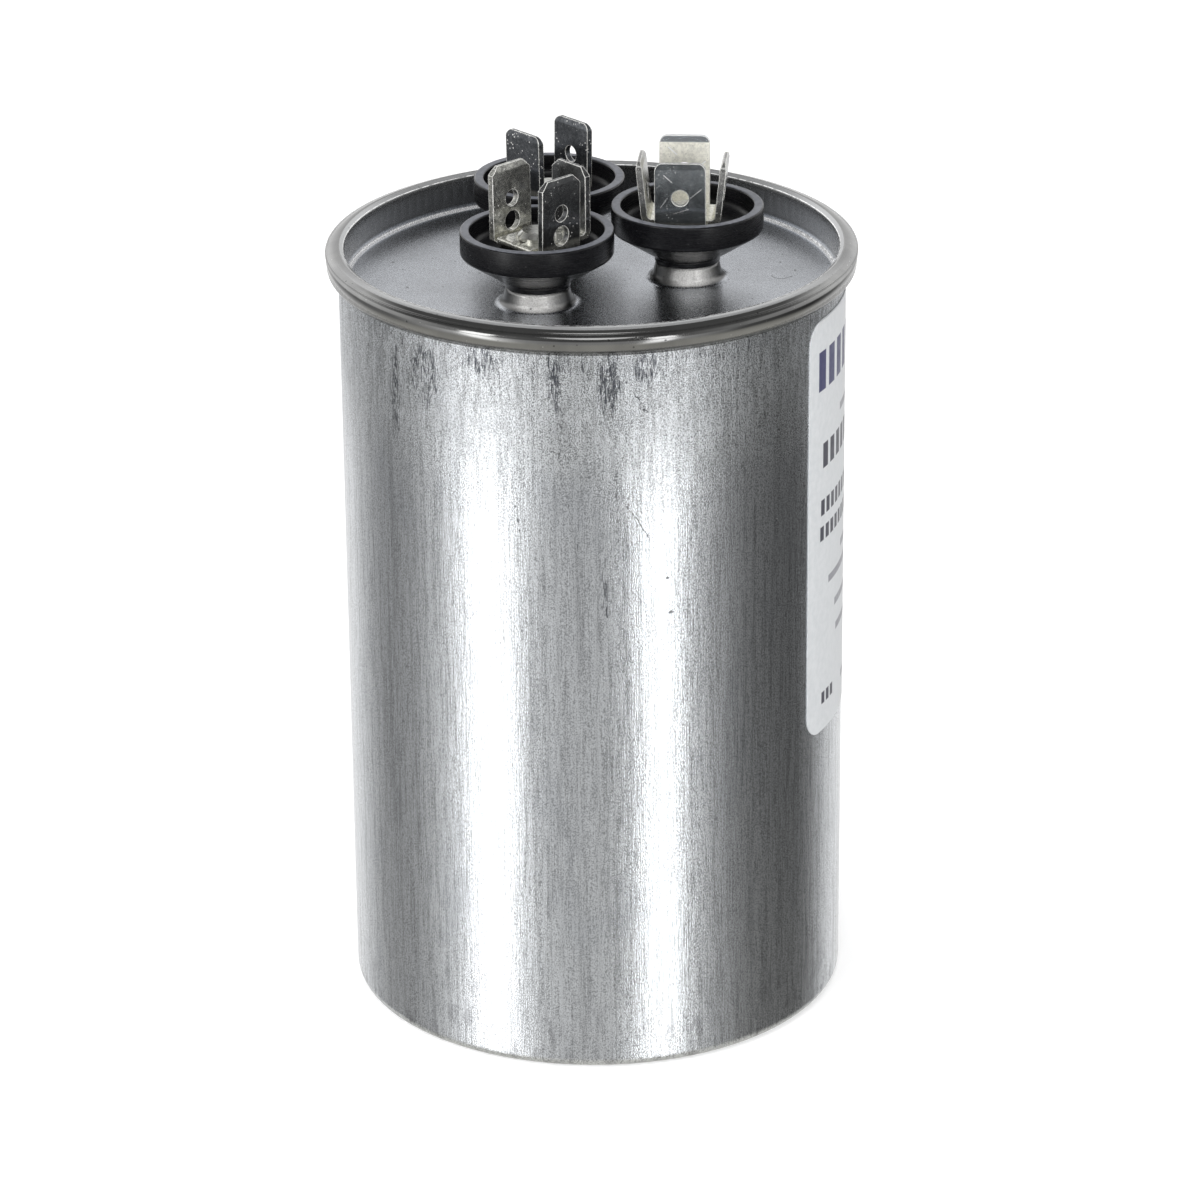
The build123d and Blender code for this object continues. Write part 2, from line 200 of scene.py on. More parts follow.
    def bar(self, where, left, bottom, right, top):
        """1 inside an upright rectangle."""
        away = self.vector("SUBTRACT", where, ((left + right) / 2, (bottom + top) / 2, 0))
        half = ((right - left) / 2, (top - bottom) / 2, 0)
        x, y, _ = self.xyz(self.vector("SUBTRACT", self.vector("ABSOLUTE", away), half))
        return self.falling(self.most(x, y), -BAR_FADE, BAR_FADE)

    def dashes(self, x, period, share):
        """1 on dashes that take this share of each period."""
        return self.math("LESS_THAN", self.math("FRACT", self.times(x, 1 / period)), share)

    def blend(self, factor, low, high):
        """Colour from low to high."""
        low, high = (c if isinstance(c, bpy.types.NodeSocket) else (*c, 1) for c in (low, high))
        return self.node("ShaderNodeMix", {0: factor, 6: low, 7: high}, data_type="RGBA").outputs[2]

    def paint(self, tone, *coats):
        """The tone with each coat over it in turn. A coat is how far it covers, 0 to 1, and its colour."""
        for cover, colour in coats:
            tone = self.blend(cover, tone, colour)
        return tone

    def mix(self, factor, low, high):
        """Number from low to high."""
        return self.node("ShaderNodeMix", {0: factor, 2: low, 3: high}, data_type="FLOAT").outputs[0]

    def bump(self, height, strength, distance_mm, under=None):
        inputs = {"Height": height, "Strength": strength, "Distance": distance_mm * MM}
        if under is not None:
            inputs["Normal"] = under
        return self.node("ShaderNodeBump", inputs).outputs[0]

    def flat_normal(self):
        return self.node("ShaderNodeNewGeometry").outputs["Normal"]

    def rounded(self, radius_mm):
        """Normal rounded over the sharp edges, and 1 on those edges."""
        smooth = self.node("ShaderNodeBevel", {"Radius": radius_mm * MM}, samples=EDGE_SAMPLES).outputs[0]
        agreement = self.vector("DOT_PRODUCT", smooth, self.flat_normal())
        return smooth, self.falling(agreement, *EDGE_AGREEMENT)

    def surface(self, colour, roughness, metallic, normal, **plain):
        """Principled shader. Plain values are set on its own sockets."""
        inputs = {"Base Color": colour, "Roughness": roughness, "Metallic": metallic, "Normal": normal}
        shader = self.node("ShaderNodeBsdfPrincipled", {**inputs, **plain})
        self.node("ShaderNodeOutputMaterial", {"Surface": shader.outputs[0]})


def new_material(name):
    """Empty material and its shader."""
    material = bpy.data.materials.new(name)
    return material, Shader(material)


def finish_with(material, *names):
    """Gives the CAD nodes with these names the material."""
    for name in names:
        slots = nodes[name].material_slots
        if not slots:
            nodes[name].data.materials.append(material)
        for slot in slots:
            slot.link = "OBJECT"
            slot.material = material


# The can is smooth up to the first height and dull and crinkled from the second, in millimetres
CAN_DULL_PART = (70, 94)
# Values on the smooth part and on the dull part
CAN_GRAIN_IN_TONE = (0.27, 0.48)
CAN_DRAW_IN_TONE = (0.13, 0.10)
CAN_ROUGHNESS = (0.17, 0.37)
CAN_FINE_RELIEF = (0.55, 1.0)
CAN_CRINKLE_RELIEF = (0.3, 1.3)

CAN_SHINE = 0.85
CAN_TONE = (0.94, 0.968, 1.0)
CAN_CLOUD_TONE = (0.45, 0.48, 0.53)
CAN_SCUFF_TONE = (0.055, 0.06, 0.075)
CAN_SCUFF_COVER = 0.88
CAN_FOOT_PATCH_TONE = (0.25, 0.25, 0.27)
CAN_MARK_TONE = (0.06, 0.065, 0.075)
CAN_MARK_COVER = 0.75
CAN_GRAIN_IN_ROUGHNESS = 0.04
CAN_GRAIN_RELIEF = 0.22
CAN_DRAW_RELIEF = 0.12
CAN_MARK_RELIEF = -1.5
CAN_RELIEF_STRENGTH = 0.5
CAN_RELIEF_DEPTH = 0.05

CAN_GRAIN = Pattern((8.5, 8.5, 7.5), (0.30, 0.70, -1, 1), 0, 0.5)
CAN_DRAW = Pattern((6.5, 6.5, 0.22), (0.34, 0.66, -1, 1), 1, 0.6, (3, 5, 1))
CAN_CRINKLE = Pattern((4.2, 4.2, 2.2), detail=3, rough=0.65, shift=(4, 1, 6))
CAN_BROAD_DRAW = Pattern((1.1, 1.1, 0.035), (0.42, 0.66, 1.0, 0.80), 3, 0.6, (8, 2, 3))
CAN_CLOUD = Pattern((0.13, 0.13, 0.06), (0.5, 0.72, 0, 0.18), 3, 0.6, (2, 0, 7))
CAN_RUNS = Pattern((1.4, 1.4, 0.22), (0.42, 0.64, 1.04, 0.74), 4, 0.7, (2, 9, 5))

# Darker patches round the can's foot
CAN_FOOT = (0, 14)
CAN_FOOT_PATCHES = Pattern((0.4, 0.4, 0.25), (0.5, 0.66, 0, 0.5), 4, 0.7, (5, 5, 2))

# Wear under the seam, which shows as dark dabs and strokes. The dabs' levels are for sound and worn metal
CAN_WORN_RIM = (88, 96.5)
CAN_RIM_WEAR = 0.55
CAN_DABS = Pattern((5.0, 5.0, 0.62), shift=(1, 7, 4), distortion=0.6)
DAB_EDGE_LEVEL = (0.68, 0.50)
DAB_FULL_LEVEL = (0.78, 0.575)
CAN_STROKES = Pattern((2.2, 2.2, 0.34), shift=(4, 2, 9), distortion=0.6)
STROKE_WIDTH = (0.015, 0.075)
STROKE_WEAR = (0.35, 0.9)
CAN_STROKE_BREAKS = Pattern((1.4, 1.4, 0.4), (0.42, 0.52), 3, 0.7, (6, 2, 8))

# Marks on the can, in millimetres round it from the front and up. Scuffs: middle, size and wear
CAN_SCUFFS = [
    ((-4.6, 92.5), (1.8, 7.5), 0.9),
    ((1.8, 92.5), (2.6, 8.5), 1.0),
    ((1.2, 66.5), (0.9, 12.0), 0.7),
    ((-2.5, 63.0), (2.0, 14.0), 0.35),
    ((-22.5, 91.5), (5.0, 8.0), 0.85),
    ((-27.5, 88.0), (2.0, 12.0), 0.85),
    ((-14.0, 95.0), (4.5, 4.0), 0.9),
    ((6.5, 94.5), (3.0, 4.5), 0.9),
]
# Cracks: start and end
CAN_CRACKS = [
    ((-6.75, 84.05), (-4.9, 83.9)),
    ((-4.9, 83.9), (-3.45, 83.45)),
    ((4.9, 91.4), (6.6, 88.8)),
    ((3.9, 77.1), (5.1, 74.9)),
    ((5.1, 74.9), (7.0, 72.1)),
    ((-31.0, 91.2), (-30.2, 89.9)),
]
CAN_CRACK_WIDTH = 0.13
CAN_CRACK_WANDER = 1.1
CAN_WANDER = Pattern((1.6, 1.6, 1.6), detail=2, rough=0.5)
# Nicks: middle and size
CAN_NICKS = [
    ((9.55, 62.3), (0.42, 0.30)),
    ((9.05, 66.9), (0.30, 0.22)),
    ((-9.3, 74.6), (0.30, 0.40)),
    ((-9.7, 76.4), (0.16, 0.16)),
    ((-9.2, 73.3), (0.15, 0.20)),
    ((25.0, 71.1), (0.25, 0.25)),
]


def can_scuffs(s, where, height):
    """1 on the dark dabs and strokes of the worn metal."""
    worn = s.times(s.between(height, *CAN_WORN_RIM), CAN_RIM_WEAR)
    patches = [s.times(s.patch(where, centre, size), wear) for centre, size, wear in CAN_SCUFFS]
    worn = s.most(worn, *patches)
    dabs = s.between(s.noise(CAN_DABS), s.mix(worn, *DAB_EDGE_LEVEL), s.mix(worn, *DAB_FULL_LEVEL))
    off_middle = s.math("ABSOLUTE", s.add(s.noise(CAN_STROKES), -NOISE_MIDDLE))
    strokes = s.times(
        s.falling(off_middle, *STROKE_WIDTH), s.between(worn, *STROKE_WEAR), s.read(CAN_STROKE_BREAKS)
    )
    return s.most(dabs, strokes)


def can_marks(s, where):
    """1 in the cracks and the nicks."""
    wander = s.vector("SUBTRACT", s.noise(CAN_WANDER, "Color"), [NOISE_MIDDLE] * 3)
    wandered = s.vector("ADD", where, s.vector("SCALE", wander, scale=CAN_CRACK_WANDER))
    cracks = [s.line(wandered, start, end, CAN_CRACK_WIDTH) for start, end in CAN_CRACKS]
    nicks = [s.patch(where, centre, size) for centre, size in CAN_NICKS]
    return s.most(*cracks, *nicks)


def can_metal():
    """Drawn aluminium with a crinkled grain and upright draw marks, dull and scuffed under the seam."""
    material, s = new_material("can_metal")
    where = s.around_can()
    height = s.xyz(where)[1]
    dull = s.between(height, *CAN_DULL_PART)
    grain = s.read(CAN_GRAIN)
    draw = s.read(CAN_DRAW)
    marks = can_marks(s, where)

    grain_in_tone = s.times(grain, s.mix(dull, *CAN_GRAIN_IN_TONE))
    draw_in_tone = s.times(draw, s.mix(dull, *CAN_DRAW_IN_TONE))
    shine = s.add(CAN_SHINE, grain_in_tone, draw_in_tone)
    shine = s.math("MULTIPLY", shine, s.read(CAN_BROAD_DRAW), clamp=True)
    shine = s.times(shine, s.mix(dull, 1.0, s.read(CAN_RUNS)))
    tone = s.paint(
        s.blend(shine, BLACK, CAN_TONE),
        (s.read(CAN_CLOUD), CAN_CLOUD_TONE),
        (s.times(can_scuffs(s, where, height), CAN_SCUFF_COVER), CAN_SCUFF_TONE),
        (s.times(s.falling(height, *CAN_FOOT), s.read(CAN_FOOT_PATCHES)), CAN_FOOT_PATCH_TONE),
        (s.times(marks, CAN_MARK_COVER), CAN_MARK_TONE),
    )

    rough = s.add(s.mix(dull, *CAN_ROUGHNESS), s.times(grain, CAN_GRAIN_IN_ROUGHNESS))
    fine = s.add(s.times(grain, CAN_GRAIN_RELIEF), s.times(draw, CAN_DRAW_RELIEF))
    relief = s.add(
        s.times(fine, s.mix(dull, *CAN_FINE_RELIEF)),
        s.times(s.noise(CAN_CRINKLE), s.mix(dull, *CAN_CRINKLE_RELIEF)),
        s.times(marks, CAN_MARK_RELIEF),
    )
    s.surface(tone, rough, 1.0, s.bump(relief, CAN_RELIEF_STRENGTH, CAN_RELIEF_DEPTH))
    return material


# Cover: regions in millimetres of radius and height. Each pair is where the region's fade starts and ends
SEAM_FROM_RADIUS = (SEAM_INNER_RADIUS - 0.1, SEAM_INNER_RADIUS + 0.3)
SEAM_FROM_HEIGHT = (96, 96.4)
COLLAR_FROM_HEIGHT = (PANEL_TOP + 0.01, PANEL_TOP + 0.25)
COLLAR_TO_RADIUS = (28.0, 28.5)
WALL_FROM_RADIUS = (28.0, 29.5)
WALL_FROM_HEIGHT = (PANEL_TOP + 0.3, PANEL_TOP + 0.8)
BEND_FROM_RADIUS = (30.25, 30.4)
BEND_TO_HEIGHT = (PANEL_TOP + 0.12, PANEL_TOP + 0.28)

COVER_GRAIN = Pattern((5.5, 5.5, 5.5), detail=2, rough=0.6)
COVER_CLOUD = Pattern((0.12, 0.12, 0.12), detail=4, rough=0.6)

# Panel and chuck wall. The wall carries painted shade, darkest at the back: millimetres toward the camera,
# and cover there
PANEL_DARK, PANEL_PALE = (0.385, 0.40, 0.43), (0.77, 0.80, 0.85)
PANEL_GRAIN_SPAN = (0.32, 0.68)
PANEL_CLOUD_TONE = (0.35, 0.36, 0.38)
PANEL_CLOUD_SPAN = (0.4, 0.7, 0, 0.3)
WALL_PAINTED_SHADE_TONE = (0.06, 0.06, 0.06)
WALL_SHADE = (-24, 10, 0.92, 0.62)
BEND_HIGHLIGHT_TONE = (0.95, 0.95, 0.95)
BEND_GRAIN_SPAN = (0.3, 0.6, 0.4, 0.9)

# Collars: middle of each, how far to the front its painted highlight lies, and the highlight's size. Round
# the highlight the collar has a dark tone that stands in for shade on its sides
COLLARS = [(12.8, 0.0, 96.6), (-6.0, -10.39, 96.6), (-6.0, 10.39, 96.6)]
COLLAR_HIGHLIGHT_REACH = 4.8
COLLAR_HIGHLIGHT_SIZE = (5.2, 4.6, 4.0)
COLLAR_SHADED_TONE = (0.17, 0.17, 0.17)
COLLAR_HIGHLIGHT_DARK, COLLAR_HIGHLIGHT_PALE = (0.74, 0.73, 0.71), (1.0, 0.99, 0.97)
COLLAR_HIGHLIGHT_GRAIN_SPAN = (0.35, 0.65)

# Seam: its crest inside the crease, its fall outside it, the ridge between them and the inner lip. The fall
# is painted lighter, and the ridge and the lip carry painted highlights
SEAM_DARK, SEAM_PALE = (0.26, 0.26, 0.26), (0.34, 0.34, 0.335)
SEAM_CLOUD_SPAN = (0.35, 0.7)
# The painted light on the fall and the ridge shows on the camera's side, by millimetres toward it
SEAM_FACING = (4, 24)
CREST_TO_RADIUS = (SEAM_CREASE_RADIUS - 0.12, SEAM_CREASE_RADIUS - 0.02)
CREST_TONE = (0.45, 0.455, 0.46)
FALL_FROM_RADIUS = (SEAM_CREASE_RADIUS + 0.08, SEAM_CREASE_RADIUS + 0.18)
FALL_TO_RADIUS = (SEAM_OUTER_RADIUS - 0.75, SEAM_OUTER_RADIUS - 0.55)
FALL_PAINTED_LIGHT_TONE = (0.52, 0.525, 0.53)
RIDGE_WIDTH = (0.03, 0.09)
RIDGE_HIGHLIGHT_BREAKS = Pattern((2.2, 2.2, 2.2), (0.38, 0.56, 0.25, 1), 3, 0.7)
# The lip's painted highlight is wider in front: millimetres toward the camera, and width there
LIP_WIDTH = (-10, 25, 0.14, 0.34)
LIP_OUTER_FADE = 0.07
LIP_FROM_RADIUS = (SEAM_INNER_RADIUS + 0.07, SEAM_INNER_RADIUS + 0.12)
LIP_FROM_HEIGHT = (99.3, 99.5)
LIP_HIGHLIGHT_BREAKS = Pattern((1.6, 1.6, 1.6), (0.35, 0.55, 0.35, 1.0), 3, 0.7)

# Pits and sparks: how dense they are, where each fades from and to, and the shift of the pattern
PITS = (0.55, 0.03, 0.10)
PIT_TONE = (0.08, 0.08, 0.08)
PIT_COVER = 0.7
SPARKS = (0.9, 0.02, 0.07, (3, 1, 2))
SPARK_TONE = (0.95, 0.95, 0.95)
SPARK_COVER = 0.6
# Pits that stand alone, as middle and size, and scratches, in millimetres
PANEL_PITS = [
    ((-25.4, 3.75, 95.5), (0.30, 0.45, 1)),
    ((-22.7, -5.6, 95.5), (0.30, 0.45, 1)),
    ((23.4, 5.8, 95.5), (0.25, 0.4, 1)),
    ((25.4, 2.8, 95.5), (0.25, 0.4, 1)),
]
PANEL_SCRATCHES = [
    ((22.5, 0.6), (23.0, -0.2)),
    ((23.0, -0.2), (24.0, -0.5)),
    ((24.0, -0.5), (25.1, 0.6)),
    ((10.3, -11.6), (11.2, -12.3)),
]
PANEL_SCRATCH_WIDTH = 0.12

# Roughness at two levels of the grain, on the panel and on the seam
PANEL_ROUGHNESS = (0.3, 0.7, 0.20, 0.34)
SEAM_ROUGHNESS = (0.3, 0.7, 0.09, 0.14)
COLLAR_ROUGHNESS = 0.33
# Relief of the grain on the panel and on the seam, and of the pits
COVER_GRAIN_RELIEF = (1.0, 0.12)
PIT_RELIEF = -0.6
COVER_RELIEF_STRENGTH = 0.4
COVER_RELIEF_DEPTH = 0.035
# How matt each bright part is
COLLAR_MATT, CREST_MATT, LIP_MATT, FALL_MATT, RIDGE_MATT, BEND_MATT = 0.7, 0.45, 0.9, 0.35, 0.9, 0.4

# Curves that bend the mirror on the seam's outer face and slope, and the hollow that bends it on the
# panel: its rise over the square of the radius, and the radius where it ends
SEAM_FACE_CURVE = (0.70, 0.103, -0.779)
SEAM_SLOPE_CURVE = (0.4, -0.465, 0.0)
PANEL_HOLLOW = 0.0018
PANEL_HOLLOW_RADIUS = 30.0


def panel_pits(s):
    """1 in the pits and the scratches of the panel."""
    pits = [s.patch(s.place(), centre, size) for centre, size in PANEL_PITS]
    flat = s.place((1, 1, 0))
    scratches = [s.line(flat, start, end, PANEL_SCRATCH_WIDTH) for start, end in PANEL_SCRATCHES]
    return s.most(s.spots(*PITS), *pits, *scratches)


def mirror_curves(s, radius, height, seam):
    """Millimetres of relief that let the seam mirror as a round bead, and the panel as a hollow dish."""
    up_face = s.between(height, SEAM_BOTTOM, SEAM_SHOULDER, linear=True)
    out_slope = s.between(radius, SEAM_CREASE_RADIUS, SEAM_OUTER_RADIUS, linear=True)
    bead = s.add(
        s.times(s.curve(up_face, SEAM_FACE_CURVE), SEAM_SHOULDER - SEAM_BOTTOM),
        s.times(s.curve(out_slope, SEAM_SLOPE_CURVE), SEAM_OUTER_RADIUS - SEAM_CREASE_RADIUS),
    )
    held = s.math("MINIMUM", radius, PANEL_HOLLOW_RADIUS)
    return s.add(s.times(bead, seam), s.times(held, held, PANEL_HOLLOW))


def cover_metal():
    """Matt tinplate with speckle and pits. The drawn collars are dark with a painted highlight toward the
    camera, and the rolled seam is smooth with painted light on the camera's side.
    """
    material, s = new_material("cover_metal")
    x, y, height = s.xyz(s.place())
    radius = s.math("POWER", s.add(s.times(x, x), s.times(y, y)), 0.5)
    toward_front = s.xyz(s.turned_to_front(s.place()))[0]
    grain = s.noise(COVER_GRAIN)
    cloud = s.noise(COVER_CLOUD)
    pits = panel_pits(s)

    seam = s.times(s.between(radius, *SEAM_FROM_RADIUS), s.between(height, *SEAM_FROM_HEIGHT))
    collar = s.times(s.between(height, *COLLAR_FROM_HEIGHT), s.falling(radius, *COLLAR_TO_RADIUS))
    wall = s.times(s.between(height, *WALL_FROM_HEIGHT), s.between(radius, *WALL_FROM_RADIUS))
    bend = s.times(s.between(radius, *BEND_FROM_RADIUS), s.falling(height, *BEND_TO_HEIGHT))
    highlight_middles = [Vector(middle) + FRONT * COLLAR_HIGHLIGHT_REACH for middle in COLLARS]
    painted_highlight = s.times(s.most(*(s.patch(s.place(), front, COLLAR_HIGHLIGHT_SIZE) for front in highlight_middles)), collar)

    facing = s.between(toward_front, *SEAM_FACING)
    crest = s.times(s.falling(radius, *CREST_TO_RADIUS), seam)
    fall = s.times(s.between(radius, *FALL_FROM_RADIUS), s.falling(radius, *FALL_TO_RADIUS), seam, facing)
    off_crease = s.math("ABSOLUTE", s.add(radius, -SEAM_CREASE_RADIUS))
    ridge = s.times(s.falling(off_crease, *RIDGE_WIDTH), seam, facing, s.read(RIDGE_HIGHLIGHT_BREAKS))
    past_lip = s.add(radius, s.times(s.between(toward_front, *LIP_WIDTH), -1.0))
    lip = s.times(
        s.falling(past_lip, SEAM_INNER_RADIUS, SEAM_INNER_RADIUS + LIP_OUTER_FADE),
        s.between(radius, *LIP_FROM_RADIUS),
        s.between(height, *LIP_FROM_HEIGHT),
        s.read(LIP_HIGHLIGHT_BREAKS),
    )

    tone = s.paint(
        s.blend(s.between(grain, *PANEL_GRAIN_SPAN), PANEL_DARK, PANEL_PALE),
        (s.between(cloud, *PANEL_CLOUD_SPAN), PANEL_CLOUD_TONE),
        # painted shade over the chuck wall, heaviest at the back
        (s.times(wall, s.between(toward_front, *WALL_SHADE)), WALL_PAINTED_SHADE_TONE),
        # painted highlight along the bend from the panel into the chuck wall
        (s.times(bend, s.between(grain, *BEND_GRAIN_SPAN)), BEND_HIGHLIGHT_TONE),
        # the collars' dark tone is painted shade on their sides, and the patch over it is their painted
        # highlight
        (collar, COLLAR_SHADED_TONE),
        (painted_highlight, s.blend(s.between(grain, *COLLAR_HIGHLIGHT_GRAIN_SPAN), COLLAR_HIGHLIGHT_DARK, COLLAR_HIGHLIGHT_PALE)),
        (seam, s.blend(s.between(cloud, *SEAM_CLOUD_SPAN), SEAM_PALE, SEAM_DARK)),
        (crest, CREST_TONE),
        # painted light on the seam: a lighter fall, and painted highlights on the ridge and the inner lip
        (fall, FALL_PAINTED_LIGHT_TONE),
        (ridge, WHITE),
        (lip, WHITE),
        (s.times(pits, PIT_COVER), PIT_TONE),
        (s.times(s.spots(*SPARKS), SPARK_COVER), SPARK_TONE),
    )
    rough = s.mix(seam, s.between(grain, *PANEL_ROUGHNESS), s.between(grain, *SEAM_ROUGHNESS))
    rough = s.mix(collar, rough, COLLAR_ROUGHNESS)
    matt = s.most(
        s.times(painted_highlight, COLLAR_MATT),
        s.times(crest, CREST_MATT),
        s.times(lip, LIP_MATT),
        s.times(fall, FALL_MATT),
        s.times(ridge, RIDGE_MATT),
        s.times(bend, BEND_MATT),
    )
    relief = s.add(s.times(grain, s.mix(seam, *COVER_GRAIN_RELIEF)), s.times(pits, PIT_RELIEF))
    fine = s.bump(relief, COVER_RELIEF_STRENGTH, COVER_RELIEF_DEPTH)
    normal = s.bump(mirror_curves(s, radius, height, seam), 1.0, 1.0, fine)
    s.surface(tone, rough, s.math("SUBTRACT", 1.0, matt), normal)
    return material


# Cups: the radius that their edges look rounded to, their tones, and the rim's top, paler by painted sheen,
# which is found by how level a face is and by its height in millimetres
CUP_EDGE = 0.12
CUP_DARK, CUP_PALE = (0.004, 0.004, 0.005), (0.008, 0.008, 0.009)
CUP_GRAIN = Pattern((1.6, 1.6, 1.6), (0.3, 0.7), 4, 0.6)
CUP_RIM_SHEEN_TONE = (0.15, 0.157, 0.18)
CUP_RIM_LEVEL = (0.7, 0.98)
CUP_RIM_HEIGHT = (CUP_RIM - 0.6, CUP_RIM - 0.2)
CUP_RIM_GRAIN_SPAN = (0.2, 0.7, 0.5, 1.0)
CUP_RIM_ROUGHNESS = 0.10
CUP_EDGE_HIGHLIGHT_TONE = (0.05, 0.05, 0.055)
CUP_EDGE_HIGHLIGHT_COVER = 0.3
CUP_DUST = (0.9, 0.02, 0.08)
CUP_DUST_TONE = (0.16, 0.16, 0.16)
CUP_DUST_COVER = 0.35
CUP_TURNING = Pattern((0.3, 0.3, 7.0), detail=3, rough=0.6)
CUP_ROUGHNESS = (0.3, 0.7, 0.22, 0.34)
CUP_TURNING_RELIEF = 0.4
CUP_RELIEF_STRENGTH = 0.12
CUP_RELIEF_DEPTH = 0.04
CUP_IOR = 1.45


def black_moulding():
    """Black moulded insulator, satin, with a painted sheen on its rim's level top and fine turning marks.
    """
    material, s = new_material("black_moulding")
    edge_normal, edge = s.rounded(CUP_EDGE)
    level = s.xyz(s.flat_normal())[2]
    height = s.xyz(s.place())[2]
    rim = s.times(s.between(level, *CUP_RIM_LEVEL), s.between(height, *CUP_RIM_HEIGHT))
    grain = s.noise(CUP_GRAIN)
    turning = s.noise(CUP_TURNING)
    tone = s.paint(
        s.blend(s.between(grain, *CUP_GRAIN.span), CUP_DARK, CUP_PALE),
        # painted sheen on the level top of the rim
        (s.times(rim, s.between(grain, *CUP_RIM_GRAIN_SPAN)), CUP_RIM_SHEEN_TONE),
        # painted highlight on the rounded edges
        (s.times(edge, CUP_EDGE_HIGHLIGHT_COVER), CUP_EDGE_HIGHLIGHT_TONE),
        (s.times(s.spots(*CUP_DUST), CUP_DUST_COVER), CUP_DUST_TONE),
    )
    rough = s.add(s.between(turning, *CUP_ROUGHNESS), s.times(rim, CUP_RIM_ROUGHNESS))
    relief = s.add(grain, s.times(turning, CUP_TURNING_RELIEF))
    normal = s.bump(relief, CUP_RELIEF_STRENGTH, CUP_RELIEF_DEPTH, edge_normal)
    s.surface(tone, rough, 0.0, normal, IOR=CUP_IOR)
    return material


class Tin(NamedTuple):
    """Finish of tinned brass. Its painted_glints is how far the flecks of painted glint cover.

    The far side of a strip may have painted light of its own, and so may its rear blade: the place along Y
    where that one starts, its dark tone and its pale tone.
    """

    name: str
    dark: tuple
    pale: tuple
    roughness: float = 0.15
    painted_glints: float = 0.5
    lit_far_side: tuple = None
    scratches: tuple = ()
    lit_rear: tuple = None


# Scratches on the common terminal's front blade, in millimetres along X and up
BLADE_SCRATCHES = (
    ((12.7, 107.7), (14.0, 108.8)),
    ((9.4, 110.6), (10.4, 109.7)),
    ((9.0, 106.4), (9.8, 107.6)),
    ((10.6, 105.6), (12.4, 106.2)),
)
BLADE_SCRATCH_WIDTH = 0.09

# Tinned pieces. Their edges look rounded to this radius and carry a painted highlight
TIN_EDGE = 0.20
TIN_HIGHLIGHT_TONE = (1.0, 0.99, 0.95)
TIN_EDGE_SPAN = (0.25, 0.5, 0.5, 1.0)
TIN_METALLIC = 0.87
TIN_HIGHLIGHT_METALLIC = 0.25
TIN_GRAIN = Pattern((2.4, 2.4, 2.4), (0.25, 0.75), 4, 0.7)
# Roughness under and over the finish's own, at two levels of the grain
TIN_ROUGHNESS_SPAN = (0.3, 0.7)
TIN_SMOOTHER, TIN_ROUGHER = 0.04, 0.06
# Dark clouds and the clusters of painted glints
TIN_CLUSTERS = Pattern((0.35, 0.35, 0.35), (0.46, 0.56), 3, 0.6, (2, 6, 1))
TIN_CLOUD_SPAN = (0.35, 0.65, 0.45, 0)
TIN_CLOUD_SHADE = 0.5
TIN_GLINTS = (1.9, 0.10, 0.24, (6, 3, 5))
TIN_PITS = (1.7, 0.06, 0.16)
TIN_PIT_COVER = 0.45
TIN_PIT_SHADE = 0.4
TIN_PIT_RELIEF = -0.5
TIN_RUBS = Pattern((3.0, 0.5, 3.0), (0.62, 0.70, 0, 0.35), 4, 0.7, (1, 4, 2))
TIN_RUB_TONE = (0.80, 0.80, 0.77)
TIN_RELIEF_STRENGTH = 0.2
TIN_RELIEF_DEPTH = 0.025
# The strips in the well, painted pale as painted light on their level faces
TIN_FOOT = (CUP_FLOOR + 1.7, CUP_FLOOR + 2.3)
TIN_FOOT_LIT_DARK, TIN_FOOT_LIT_PALE = (0.50, 0.50, 0.44), (0.95, 0.94, 0.86)
TIN_FOOT_SPAN = (0.3, 0.6)
# Far side, painted lighter with painted shade on its bevel: where it starts along Y, the height of its
# bevel, and its finish
FAR_FROM = (-1.0, 1.0)
FAR_BEVEL_FROM = (111.2, 111.4)
FAR_BEVEL_SHADED_TONE = (0.62, 0.66, 0.70)
FAR_GRAIN_SPAN = (0.35, 0.65)
FAR_SHADE = 0.75
FAR_ROUGHNESS = 0.38
FAR_METALLIC = 0.25
REAR_FADE = 0.5


def shaded(tone, share):
    """The tone, darkened to this share of itself."""
    return [part * share for part in tone]


